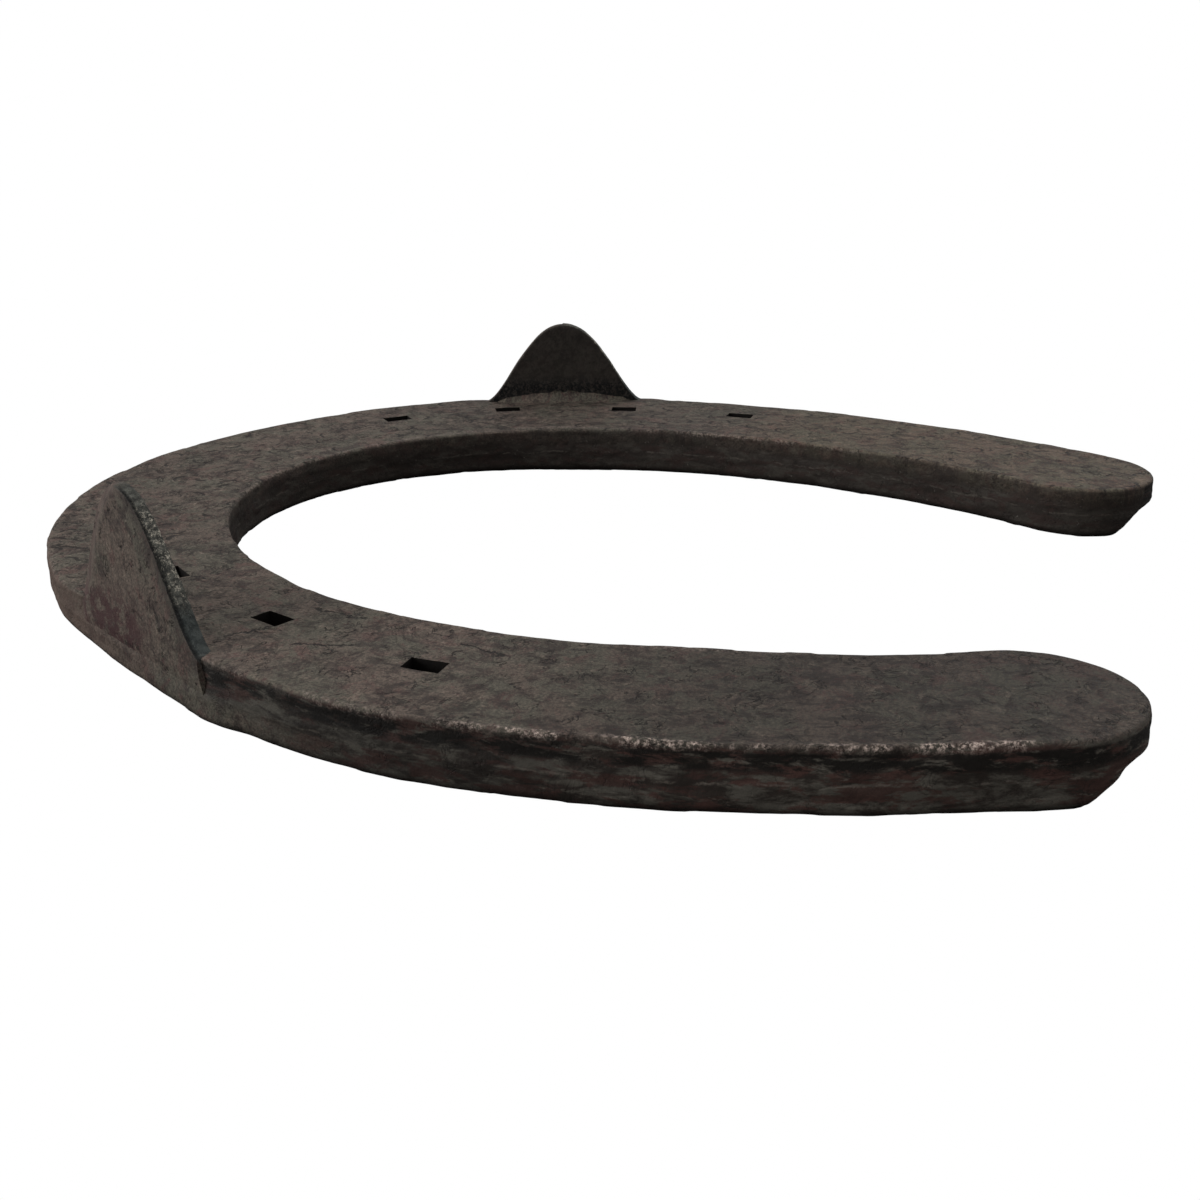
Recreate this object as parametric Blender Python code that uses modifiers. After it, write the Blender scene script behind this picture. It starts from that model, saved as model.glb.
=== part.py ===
"""Riding horseshoe with two side clips, forged from flat steel bar.

Units are metres and +Z is up.  The ground face lies on Z = 0 and the hoof
face looks up.  The toe points along -Y and the heels along +Y.  Left and
right are the horse's own, so the left branch is on the +X side.

Every sub-part is one closed solid in its own object.  Touching pieces keep
a gap of JOINT_GAP between their faces.
"""
import math

import bmesh
import bpy
from mathutils import Matrix, Vector

MM = 0.001

# Bar stock
THICKNESS = 8.0 * MM
TOE_WEB = 25.5 * MM
HEEL_WEB = 24.5 * MM
HOOF_EDGE_RADIUS = 0.5 * MM
GROUND_EDGE_RADIUS = 1.3 * MM

# Centre line of the bent bar: half an ellipse at the toe, then a parabola down each branch
TOE_DEPTH = 75.2 * MM
HALF_SPREAD = 64.8 * MM
BRANCH_LENGTH = 62.4 * MM
HEEL_DRAW_IN = 16.6 * MM
WIDEST_Y = (TOE_DEPTH + TOE_WEB / 2 - BRANCH_LENGTH - HEEL_WEB / 2) / 2

# Heel ends: the upper part stays upright and the lower part is cut back at 45 degrees
HEEL_UPRIGHT = 3.0 * MM
HEEL_CUT_ANGLE = math.radians(45.0)

# The ground side of the toe is worn away at a slight slope
TOE_WEAR_Y = -20.0 * MM
TOE_WEAR_ANGLE = math.radians(1.6)

# Nail holes: four a branch, wider on the ground side, in a crease on that side
NAIL_COUNT = 4
NAIL_REAR_ANGLE = math.radians(88.2)
NAIL_HOLE_LENGTH = 4.6 * MM
NAIL_HOLE_WIDTH = 2.9 * MM
NAIL_HOLE_FLARE = 1.35
CREASE_HALF_WIDTH = 3.2 * MM
CREASE_AXIS_Z = -0.5 * MM
CREASE_OVERRUN = math.radians(8.0)

# Side clips: a tapered plate set into the outer edge of each branch, its outer face CLIP_SET_IN
# inside that edge at the middle and standing proud at both ends
CLIP_BELL_ROUNDNESS = 2.2
CLIP_ROOT_THICKNESS = 2.7 * MM
CLIP_TIP_THICKNESS = 2.0 * MM
CLIP_FOOT_Z = 1.0 * MM
CLIP_FOOT_DRAW_IN = 3.0 * MM
CLIP_LEAN = math.radians(4.0)
CLIP_SET_IN = 0.4 * MM
CLIP_EDGE_RADIUS = 0.35 * MM

# Weld fillet along the inner root of each clip
WELD_HALF_LENGTH = 11.0 * MM
WELD_REACH = 2.6 * MM
WELD_RISE = 3.0 * MM

JOINT_GAP = 0.3 * MM
OVERCUT = 1.0 * MM

# What differs between the branches.  The right one is a little shorter and fuller beside the
# toe, and is nailed nearer to its outer edge.  The left one is flatter at its clip, and its clip
# is taller, fuller and leans towards the toe.
RIGHT = {
    "name": "right",
    "side": -1,
    "length": 60.6 * MM,
    "fullness": 2.0 * MM,
    "fullness_angle": math.radians(54.0),
    "nail_inset": 9.7 * MM,
    "nail_step": math.radians(16.8),
    "clip_angle": math.radians(62.9),
    "clip_half_width": 16.0 * MM,
    "clip_height": 15.5 * MM,
    "clip_bell_power": 1.9,
    "clip_skew": 0.0 * MM,
}
LEFT = {
    "name": "left",
    "side": 1,
    "length": BRANCH_LENGTH,
    "fullness": -2.4 * MM,
    "fullness_angle": math.radians(66.0),
    "nail_inset": 13.1 * MM,
    "nail_step": math.radians(19.5),
    "clip_angle": math.radians(60.2),
    "clip_half_width": 15.6 * MM,
    "clip_height": 16.4 * MM,
    "clip_bell_power": 1.55,
    "clip_skew": 3.8 * MM,
}

# Sampling of the curved outlines
TOE_STEPS = 22
BRANCH_STEPS = 10
HEEL_STEPS = 12
CREASE_STEPS = 16
CLIP_STEPS = 28

QUARTER = math.pi / 2
Z_AXIS = Vector((0.0, 0.0, 1.0))


def clear_scene():
    for old in list(bpy.data.objects):
        bpy.data.objects.remove(old, do_unlink=True)


def new_collection(name):
    collection = bpy.data.collections.new(name)
    bpy.context.scene.collection.children.link(collection)
    return collection


def steel(name, colour, roughness, metallic):
    material = bpy.data.materials.new(name)
    material.use_nodes = True
    shader = material.node_tree.nodes["Principled BSDF"]
    shader.inputs["Base Color"].default_value = (*colour, 1.0)
    shader.inputs["Roughness"].default_value = roughness
    shader.inputs["Metallic"].default_value = metallic
    return material


def new_part(name, mesh, material, collection):
    mesh.name = name
    mesh.materials.append(material)
    part = bpy.data.objects.new(name, mesh)
    collection.objects.link(part)
    return part


def new_cutter(name, mesh, collection):
    cutter = bpy.data.objects.new(name, mesh)
    cutter.hide_render = True
    cutter.display_type = 'WIRE'
    collection.objects.link(cutter)
    return cutter


def cut(part, cutter):
    boolean = part.modifiers.new(cutter.name, 'BOOLEAN')
    boolean.operation = 'DIFFERENCE'
    boolean.solver = 'EXACT'
    boolean.object = cutter


def mesh_from_curve(curve):
    """Turn a curve into a closed mesh, with its caps welded to its sides."""
    holder = bpy.data.objects.new("outline", curve)
    bpy.context.scene.collection.objects.link(holder)
    depsgraph = bpy.context.evaluated_depsgraph_get()
    mesh = bpy.data.meshes.new_from_object(holder.evaluated_get(depsgraph))
    bpy.data.objects.remove(holder, do_unlink=True)
    bpy.data.curves.remove(curve)
    body = bmesh.new()
    body.from_mesh(mesh)
    bmesh.ops.remove_doubles(body, verts=body.verts, dist=0.01 * MM)
    bmesh.ops.recalc_face_normals(body, faces=body.faces)
    body.to_mesh(mesh)
    body.free()
    return mesh


def flat_plate(points, thickness):
    """A plate of the given thickness, centred on Z = 0, whose outline joins the points."""
    curve = bpy.data.curves.new("plate", 'CURVE')
    curve.dimensions = '2D'
    curve.fill_mode = 'BOTH'
    curve.extrude = thickness / 2
    spline = curve.splines.new('POLY')
    spline.points.add(len(points) - 1)
    for control, point in zip(spline.points, points):
        control.co = (point[0], point[1], 0.0, 1.0)
    spline.use_cyclic_u = True
    mesh = mesh_from_curve(curve)
    body = bmesh.new()
    body.from_mesh(mesh)
    caps = [face for face in body.faces if abs(face.normal.z) > 0.5]
    bmesh.ops.dissolve_faces(body, faces=caps)
    body.to_mesh(mesh)
    body.free()
    return mesh


def upright_plate(points, root_depth, tip_depth, front):
    """A plate standing on edge, thinning from root to tip; front is the Y of its outer face."""
    tip = max(point[1] for point in points)
    mesh = flat_plate(points, root_depth)
    body = bmesh.new()
    body.from_mesh(mesh)
    for vertex in body.verts:
        inner = vertex.co.z < 0
        width, height = vertex.co.x, vertex.co.y
        raised = max(height - THICKNESS, 0.0) / (tip - THICKNESS)
        depth = root_depth + (tip_depth - root_depth) * raised
        vertex.co = (width, -depth if inner else front, height)
    body.normal_update()
    bmesh.ops.recalc_face_normals(body, faces=body.faces)
    body.to_mesh(mesh)
    body.free()
    return mesh


def box_mesh(low, high):
    """A box between two corners."""
    body = bmesh.new()
    bmesh.ops.create_cube(body, size=1.0)
    for axis in range(3):
        for vertex in body.verts:
            vertex.co[axis] = (low[axis], high[axis])[vertex.co[axis] > 0]
    mesh = bpy.data.meshes.new("box")
    body.to_mesh(mesh)
    body.free()
    return mesh


def round_edges(mesh, z, radius, segments):
    """Round the edges of a flat plate that run around the face at the height z."""
    body = bmesh.new()
    body.from_mesh(mesh)
    rim = []
    for edge in body.edges:
        at_height = all(abs(vertex.co.z - z) < 0.001 * MM for vertex in edge.verts)
        if at_height and len(edge.link_faces) == 2 and edge.calc_face_angle() > 1.0:
            rim.append(edge)
    bmesh.ops.bevel(body, geom=rim, offset=radius, segments=segments, profile=0.5, affect='EDGES')
    body.to_mesh(mesh)
    body.free()


# Plan shape of the bar.  A place on a branch is given by an angle: 0 at the toe and
# QUARTER at the widest place, as on the ellipse.  Beyond QUARTER it goes on down the
# branch, and 2 * QUARTER is the centre of the round heel.

def centre_point(branch, angle):
    if angle <= QUARTER:
        x = HALF_SPREAD * math.sin(angle)
        y = WIDEST_Y - TOE_DEPTH * math.cos(angle)
    else:
        back = branch["length"] * (angle / QUARTER - 1.0)
        x = HALF_SPREAD - HEEL_DRAW_IN * (back / BRANCH_LENGTH) ** 2
        y = WIDEST_Y + back
    return Vector((branch["side"] * x, y))


def heelward(branch, angle):
    """Unit direction of the centre line, from the toe to the heel."""
    small = 0.001
    return (centre_point(branch, angle + small) - centre_point(branch, angle - small)).normalized()


def outward(branch, angle):
    """Unit direction across the bar, away from the middle of the shoe."""
    along = heelward(branch, angle)
    return Vector((along.y, -along.x)) * branch["side"]


def web_at(angle):
    """Width of the bar: even from the toe to the quarters, then narrowing to the heels."""
    return TOE_WEB + (HEEL_WEB - TOE_WEB) * max(angle / QUARTER - 1.0, 0.0)


def outer_offset(branch, angle):
    """Distance of the outer edge from the centre line, full or flat about the fullness angle."""
    forward = min(angle / QUARTER, 1.0)
    power = math.log(0.5) / math.log(branch["fullness_angle"] / QUARTER)
    return web_at(angle) / 2 + branch["fullness"] * math.sin(math.pi * forward ** power) ** 2


def across(branch, angle, offset):
    """The place that lies the offset outside the centre line."""
    return centre_point(branch, angle) + outward(branch, angle) * offset


def branch_angles():
    angles = [QUARTER * step / TOE_STEPS for step in range(TOE_STEPS + 1)]
    angles += [QUARTER * (1.0 + step / BRANCH_STEPS) for step in range(1, BRANCH_STEPS + 1)]
    return angles


def outer_edge(branch):
    """Points along the outer edge of a branch, toe to heel."""
    return [across(branch, angle, outer_offset(branch, angle)) for angle in branch_angles()]


def inner_edge(branch):
    """Points along the inner edge of a branch, toe to heel."""
    return [across(branch, angle, -web_at(angle) / 2) for angle in branch_angles()]


def heel_points(branch):
    """Points around the round heel, from the outer edge to the inner edge."""
    end_angle = 2 * QUARTER
    centre = centre_point(branch, end_angle)
    across_bar = outward(branch, end_angle)
    along_bar = heelward(branch, end_angle)
    points = []
    for step in range(1, HEEL_STEPS):
        turn = math.pi * step / HEEL_STEPS
        direction = across_bar * math.cos(turn) + along_bar * math.sin(turn)
        points.append(centre + direction * HEEL_WEB / 2)
    return points


def shoe_outline():
    """The whole outline: around the outside, and back along the inside."""
    outline = outer_edge(RIGHT)[::-1]
    outline += outer_edge(LEFT)[1:]
    outline += heel_points(LEFT)
    outline += inner_edge(LEFT)[::-1]
    outline += inner_edge(RIGHT)[1:]
    outline += heel_points(RIGHT)[::-1]
    return outline


def nail_line(branch, angle):
    return across(branch, angle, outer_offset(branch, angle) - branch["nail_inset"])


def clip_frame(branch):
    """Place a clip: local X runs toeward or heelward, local Y out of the bar, and Z leans in."""
    angle = branch["clip_angle"]
    foot = across(branch, angle, outer_offset(branch, angle) - CLIP_SET_IN)
    out = outward(branch, angle).to_3d()
    along = out.cross(Z_AXIS)
    turn = Matrix((along, out, Z_AXIS)).transposed().to_4x4()
    return Matrix.Translation(foot.to_3d()) @ turn @ Matrix.Rotation(CLIP_LEAN, 4, 'X')


def wear_toe(mesh):
    """Slope the ground side of the plate up towards the toe, with its rounded edge."""
    body = bmesh.new()
    body.from_mesh(mesh)
    whole = body.verts[:] + body.edges[:] + body.faces[:]
    bmesh.ops.bisect_plane(body, geom=whole, plane_co=(0.0, TOE_WEAR_Y, 0.0), plane_no=(0.0, 1.0, 0.0))
    for vertex in body.verts:
        if vertex.co.z < 0:
            vertex.co.z += max(TOE_WEAR_Y - vertex.co.y, 0.0) * math.tan(TOE_WEAR_ANGLE)
    body.to_mesh(mesh)
    body.free()


def make_heel_cutter(branch, collection):
    """A wedge of space under the heel end, from the ground face up to HEEL_UPRIGHT below the top."""
    centre = centre_point(branch, 2 * QUARTER)
    mesh = box_mesh((-HEEL_WEB, 0.0, -THICKNESS * 3), (HEEL_WEB, THICKNESS * 3, 0.0))
    cutter = new_cutter(branch["name"] + "_heel_cutter", mesh, collection)
    cutter.location = (centre.x, centre.y + HEEL_WEB / 2, THICKNESS - HEEL_UPRIGHT)
    cutter.rotation_euler = (HEEL_CUT_ANGLE - QUARTER, 0.0, 0.0)
    return cutter


def make_crease_cutter(branch, collection):
    """A many-sided bar along the nail line, whose upper half is sunk in the ground face."""
    front = NAIL_REAR_ANGLE - (NAIL_COUNT - 1) * branch["nail_step"] - CREASE_OVERRUN
    rear = NAIL_REAR_ANGLE + CREASE_OVERRUN
    curve = bpy.data.curves.new("crease", 'CURVE')
    curve.dimensions = '3D'
    curve.bevel_depth = CREASE_HALF_WIDTH
    curve.bevel_resolution = 1
    curve.use_fill_caps = True
    spline = curve.splines.new('POLY')
    spline.points.add(CREASE_STEPS)
    for step, control in enumerate(spline.points):
        place = nail_line(branch, front + (rear - front) * step / CREASE_STEPS)
        control.co = (place.x, place.y, CREASE_AXIS_Z, 1.0)
    return new_cutter(branch["name"] + "_crease_cutter", mesh_from_curve(curve), collection)


def make_nail_cutter(branch, index, collection):
    """A four-sided taper through the bar, its long side along the branch."""
    angle = NAIL_REAR_ANGLE - index * branch["nail_step"]
    length = THICKNESS + 2 * OVERCUT
    body = bmesh.new()
    corner = math.sqrt(2.0) / 2
    bmesh.ops.create_cone(
        body,
        cap_ends=True,
        segments=4,
        radius1=corner * NAIL_HOLE_FLARE,
        radius2=corner,
        depth=length,
        matrix=Matrix.Rotation(math.pi / 4, 4, 'Z'),
    )
    bmesh.ops.scale(body, vec=(NAIL_HOLE_WIDTH, NAIL_HOLE_LENGTH, 1.0), verts=body.verts)
    mesh = bpy.data.meshes.new("nail")
    body.to_mesh(mesh)
    body.free()
    cutter = new_cutter("%s_nail_cutter_%d" % (branch["name"], index + 1), mesh, collection)
    place = nail_line(branch, angle)
    along = heelward(branch, angle)
    cutter.location = (place.x, place.y, THICKNESS / 2)
    cutter.rotation_euler = (0.0, 0.0, math.atan2(along.y, along.x) - QUARTER)
    return cutter


def make_pocket_cutter(branch, collection):
    """The space that a clip's foot takes from the outer edge of the bar, through its full height."""
    half = branch["clip_half_width"] + JOINT_GAP
    low, high = clip_foot(branch, JOINT_GAP)
    above = THICKNESS + OVERCUT * 3
    below = -OVERCUT * 3
    points = [low, (low[0], below), (high[0], below), high]
    points += [(half, THICKNESS), (half, above), (-half, above), (-half, THICKNESS)]
    depth = CLIP_ROOT_THICKNESS + JOINT_GAP
    mesh = upright_plate(points, depth, depth, THICKNESS)
    cutter = new_cutter(branch["name"] + "_pocket_cutter", mesh, collection)
    cutter.matrix_world = clip_frame(branch)
    return cutter


def make_shoe_bar(material, parts, cutters):
    mesh = flat_plate(shoe_outline(), THICKNESS)
    round_edges(mesh, THICKNESS / 2, HOOF_EDGE_RADIUS, 2)
    round_edges(mesh, -THICKNESS / 2, GROUND_EDGE_RADIUS, 3)
    wear_toe(mesh)
    bar = new_part("shoe_bar", mesh, material, parts)
    bar.location.z = THICKNESS / 2
    for branch in (RIGHT, LEFT):
        cut(bar, make_heel_cutter(branch, cutters))
        cut(bar, make_crease_cutter(branch, cutters))
        cut(bar, make_pocket_cutter(branch, cutters))
        for index in range(NAIL_COUNT):
            cut(bar, make_nail_cutter(branch, index, cutters))
    return bar


def clip_foot(branch, margin):
    """Lower corners of a clip's foot, -X first, the toe side drawn in, with a margin all around."""
    half = branch["clip_half_width"] + margin
    low = -half + (CLIP_FOOT_DRAW_IN if branch["side"] < 0 else 0.0)
    high = half - (CLIP_FOOT_DRAW_IN if branch["side"] > 0 else 0.0)
    return [(low, CLIP_FOOT_Z - margin), (high, CLIP_FOOT_Z - margin)]


def clip_outline(branch):
    """Front view of a clip: a bell above the hoof face on its foot."""
    toeward = branch["side"]
    points = clip_foot(branch, 0.0)
    for step in range(CLIP_STEPS + 1):
        place = 1.0 - 2.0 * step / CLIP_STEPS
        width = place * branch["clip_half_width"] + toeward * branch["clip_skew"] * (1.0 - place ** 2)
        bell = (1.0 - abs(place) ** CLIP_BELL_ROUNDNESS) ** branch["clip_bell_power"]
        points.append((width, THICKNESS + branch["clip_height"] * bell))
    return points


def make_clip(branch, material, collection):
    mesh = upright_plate(clip_outline(branch), CLIP_ROOT_THICKNESS, CLIP_TIP_THICKNESS, 0.0)
    clip = new_part(branch["name"] + "_side_clip", mesh, material, collection)
    clip.matrix_world = clip_frame(branch)
    bevel = clip.modifiers.new("worn edges", 'BEVEL')
    bevel.width = CLIP_EDGE_RADIUS
    bevel.segments = 2
    bevel.limit_method = 'ANGLE'
    bevel.angle_limit = math.radians(50.0)
    return clip


def make_weld(branch, material, collection):
    """A quarter of an ellipsoid, flat where it lies along the clip and on the hoof face."""
    body = bmesh.new()
    bmesh.ops.create_uvsphere(body, u_segments=32, v_segments=16, radius=1.0)
    bmesh.ops.scale(body, vec=(WELD_HALF_LENGTH, WELD_REACH, WELD_RISE), verts=body.verts)
    for normal in ((0.0, 1.0, 0.0), (0.0, 0.0, -1.0)):
        whole = body.verts[:] + body.edges[:] + body.faces[:]
        bmesh.ops.bisect_plane(body, geom=whole, plane_co=(0, 0, 0), plane_no=normal, clear_outer=True)
        rim = [edge for edge in body.edges if edge.is_boundary]
        bmesh.ops.contextual_create(body, geom=rim)
    bmesh.ops.recalc_face_normals(body, faces=body.faces)
    mesh = bpy.data.meshes.new("weld")
    body.to_mesh(mesh)
    body.free()
    weld = new_part(branch["name"] + "_clip_weld", mesh, material, collection)
    root = Vector((0.0, -CLIP_ROOT_THICKNESS - JOINT_GAP, THICKNESS + JOINT_GAP))
    place = clip_frame(branch)
    upright = place @ Matrix.Rotation(-CLIP_LEAN, 4, 'X')
    upright.translation = place @ root
    weld.matrix_world = upright
    return weld


def main():
    clear_scene()
    parts = new_collection("Horseshoe")
    cutters = new_collection("Cutters")
    make_shoe_bar(steel("bar_steel", (0.105, 0.092, 0.083), 0.62, 0.55), parts, cutters)
    for branch in (RIGHT, LEFT):
        name = branch["name"]
        make_clip(branch, steel(name + "_clip_steel", (0.082, 0.073, 0.068), 0.58, 0.6), parts)
        make_weld(branch, steel(name + "_weld_steel", (0.060, 0.057, 0.055), 0.7, 0.5), parts)


main()
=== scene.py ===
"""Looks of the riding horseshoe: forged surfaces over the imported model, studio floor, light and camera.

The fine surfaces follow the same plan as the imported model.  Lengths are in millimetres until a
mesh is written, and metres after that.  "along" runs down the bar from the toe, negative on the
right branch, and "inset" runs in from the outer edge of the bar.
"""
import math

import bmesh
import bpy
import numpy as np
from mathutils import Matrix, Vector, kdtree, noise


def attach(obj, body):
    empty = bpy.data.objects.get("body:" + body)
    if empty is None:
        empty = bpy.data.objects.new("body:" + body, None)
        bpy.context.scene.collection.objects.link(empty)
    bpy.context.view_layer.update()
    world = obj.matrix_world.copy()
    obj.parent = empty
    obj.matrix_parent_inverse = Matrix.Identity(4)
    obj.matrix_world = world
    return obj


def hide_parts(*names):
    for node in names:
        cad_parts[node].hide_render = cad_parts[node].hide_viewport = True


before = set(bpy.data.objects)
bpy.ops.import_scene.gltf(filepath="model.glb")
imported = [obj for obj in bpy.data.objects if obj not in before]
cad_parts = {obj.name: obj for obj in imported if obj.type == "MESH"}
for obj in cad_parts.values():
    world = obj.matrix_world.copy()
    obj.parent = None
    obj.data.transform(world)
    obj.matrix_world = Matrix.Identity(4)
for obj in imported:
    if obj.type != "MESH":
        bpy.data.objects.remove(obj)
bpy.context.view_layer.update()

MM = 0.001
QUARTER = math.pi / 2

# Plan of the bar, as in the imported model
THICKNESS = 8.0
TOE_WEB = 25.5
HEEL_WEB = 24.5
TOE_DEPTH = 75.2
HALF_SPREAD = 64.8
BRANCH_LENGTH = 62.4
HEEL_DRAW_IN = 16.6
WIDEST_Y = (TOE_DEPTH + TOE_WEB / 2 - BRANCH_LENGTH - HEEL_WEB / 2) / 2
HOOF_EDGE_RADIUS = 0.5
GROUND_EDGE_RADIUS = 1.3
HEEL_UPRIGHT = 3.6
HEEL_BLEND = 2.0
HEEL_CUT_START = 0.8
ROLLED_TOE_RISE = 1.6
ROLLED_TOE_REACH = 2.5
TOE_WEAR_Y = -20.0
TOE_WEAR_SLOPE = math.tan(math.radians(1.6))
NAIL_REAR_ANGLE = 88.2
NAIL_HOLE = (2.9, 4.6)
NAIL_FLARE = 1.3
NAIL_RAGGEDNESS = 0.12
CUTTER_OVERRUN = 2.0
CREASE_HALF_WIDTH = 3.0
CREASE_DEPTH = 2.4
CREASE_OVERRUN = 8.0
CREASE_RUN_OUT = 4.0
RIGHT = dict(
    name="right", side=-1, length=60.6, fullness=2.0, fullness_angle=54.0, inner_fullness=0.0,
    nail_inset=9.7, nail_step=16.8,
    clip_angle=62.9, clip_half_width=16.0, clip_height=15.5, clip_bell_power=1.9,
    clip_skew=0.0, clip_burr=0.25, seed=30,
)
LEFT = dict(
    name="left", side=1, length=BRANCH_LENGTH, fullness=-2.4, fullness_angle=66.0, inner_fullness=0.8,
    nail_inset=13.1, nail_step=19.5,
    clip_angle=60.2, clip_half_width=15.6, clip_height=16.4, clip_bell_power=1.55,
    clip_skew=3.8, clip_burr=1.0, seed=20,
)

# Clips and welds
CLIP_BELL_ROUNDNESS = 2.2
CLIP_ROOT_THICKNESS = 2.3
CLIP_TIP_THICKNESS = 2.0
CLIP_EDGE_RADIUS = 0.45
CLIP_EDGE_SQUARENESS = 0.7
CLIP_FOOT_Z = 1.2
CLIP_FOOT_RAISED = 1.6
CLIP_FOOT_FLARE = 0.9
CLIP_SUNK = 0.35
CLIP_FLANK_SUNK = 0.85
CLIP_PROUD = 0.5
CLIP_LEAN = math.radians(4.0)
CLIP_SET_IN = 0.4
CLIP_TOE_BLEND = 12.0
CLIP_HEEL_BLEND = 8.0
CLIP_WALL_REACH = 12.0
WELD_HALF_LENGTH = 13.4
WELD_REACH = 2.6
WELD_RISE = 3.0
WELD_TAPER = 0.75
WELD_SUNK = 0.4
WELD_INTO_CLIP = 0.5
WELD_SEED = 30

# Sampling of the fine surfaces
STATION_STEP = 0.5
FINE_STATIONS = 4000
CAP_STEPS = 34
TOP_POINTS = 46
GROUND_POINTS = 26
WALL_POINTS = 15
CLIP_SECTIONS = 125
CLIP_UP_POINTS = 66
CLIP_DOWN_POINTS = 50
CLIP_EDGE_POINTS = 15
WELD_SECTIONS = 101
WELD_FACE_POINTS = 26
MERGE_DISTANCE = 0.0005
SHARP_ANGLE = math.radians(60.0)

# Relief: the first marks are the toe's, and flat faces are told apart by their level
MARK_COUNT = 150
TOE_MARK_COUNT = 45
MARK_REACH = 6.0
FLASH_HEIGHT = 3.75
TOP_LEVEL = THICKNESS - 0.01
GROUND_LEVEL = 0.01

CAMERA_PLACE = (0.20072, 0.07679, 0.07199)
CAMERA_HEADING = math.radians(110.647)
CAMERA_DIP = math.radians(20.150)
CAMERA_LENS = 44.135
SENSOR_WIDTH = 36.0
FLOOR_SIZE = 8.0
FLOOR_Z = -0.00015
FLOOR_BOUNCE = (0.12, 0.12, 0.12)
AMBIENT = 0.40
SHEEN = 0.16

# Soft square lights over the middle of the shoe: name, place and size in metres, power in watts
LIGHTS = (
    ("overhead", (-0.15, 0.0, 0.9), 0.9, 4.0),
    ("behind", (-0.9, 0.35, 0.55), 0.7, 1.5),
    ("toe_side", (0.55, -0.85, 0.35), 0.5, 7.0),
)


# ---- plan of the bar

def centre_line(branch, angle):
    """Places on the centre line, one row for each angle in radians."""
    back = branch["length"] * np.clip(angle / QUARTER - 1.0, 0.0, None)
    x = np.where(
        angle <= QUARTER,
        HALF_SPREAD * np.sin(angle),
        HALF_SPREAD - HEEL_DRAW_IN * (back / BRANCH_LENGTH) ** 2,
    )
    y = np.where(angle <= QUARTER, WIDEST_Y - TOE_DEPTH * np.cos(angle), WIDEST_Y + back)
    return np.stack([branch["side"] * x, y], axis=-1)


def heelward(branch, angle):
    """Unit directions of the centre line, from the toe to the heel."""
    small = 0.001
    step = centre_line(branch, angle + small) - centre_line(branch, angle - small)
    return step / np.linalg.norm(step, axis=-1, keepdims=True)


def outward(branch, angle):
    """Unit directions across the bar, away from the middle of the shoe."""
    along = heelward(branch, angle)
    return np.stack([along[..., 1], -along[..., 0]], axis=-1) * branch["side"]


def half_web(angle):
    return (TOE_WEB + (HEEL_WEB - TOE_WEB) * np.clip(angle / QUARTER - 1.0, 0.0, None)) / 2


def inner_offset(branch, angle):
    """Distance of the inner edge from the centre line."""
    return half_web(angle) + branch["inner_fullness"] * bump(angle / QUARTER, 1.45, 0.42)


def outer_offset(branch, angle):
    """Distance of the outer edge from the centre line."""
    forward = np.clip(angle / QUARTER, 0.0, 1.0)
    power = math.log(0.5) / math.log(branch["fullness_angle"] / 90.0)
    return half_web(angle) + branch["fullness"] * np.sin(math.pi * forward ** power) ** 2


def stations(branch):
    """Angles evenly spaced along a branch, toe to heel, with the distance along the bar of each."""
    fine = np.linspace(0.0, 2 * QUARTER, FINE_STATIONS)
    steps = np.linalg.norm(np.diff(centre_line(branch, fine), axis=0), axis=1)
    run = np.concatenate([[0.0], np.cumsum(steps)])
    along = np.linspace(0.0, run[-1], int(run[-1] / STATION_STEP) + 1)
    return np.interp(along, run, fine), along


def clip_frame(branch):
    """Place a clip, in millimetres: local X along the bar, Y out of it, Z up and leaning in."""
    angle = np.array(math.radians(branch["clip_angle"]))
    out = outward(branch, angle)
    foot = centre_line(branch, angle) + out * (outer_offset(branch, angle) - CLIP_SET_IN)
    out = Vector((*out, 0.0))
    up = Vector((0.0, 0.0, 1.0))
    turn = Matrix((out.cross(up), out, up)).transposed().to_4x4()
    return Matrix.Translation((*foot, 0.0)) @ turn @ Matrix.Rotation(CLIP_LEAN, 4, 'X')


# ---- tools for fine meshes

def smooth_step(low, high, value):
    """0 below low, 1 above high, and an even rise between them."""
    t = np.clip((value - low) / (high - low), 0.0, 1.0)
    return t * t * (3.0 - 2.0 * t)


def between(value, rise, fall):
    """1 between two places, with an even rise to it and fall from it, each (low, high)."""
    return smooth_step(*rise, value) * (1.0 - smooth_step(*fall, value))


def bump(value, centre, half_width):
    """A smooth hill of height 1."""
    return np.clip(1.0 - ((value - centre) / half_width) ** 2, 0.0, 1.0) ** 2


def fractal(points, size, octaves=4, seed=0):
    """Layered noise, about -1 to 1, whose largest features have the given size."""
    shift = np.array([13.7, 41.1, 29.3]) * (seed + 1)
    places = points / size + shift
    return np.array([noise.fractal(place, 1.0, 2.0, octaves) for place in places.tolist()])


def outward_faces(mesh):
    body = bmesh.new()
    body.from_mesh(mesh)
    bmesh.ops.recalc_face_normals(body, faces=body.faces)
    body.to_mesh(mesh)
    body.free()


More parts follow.
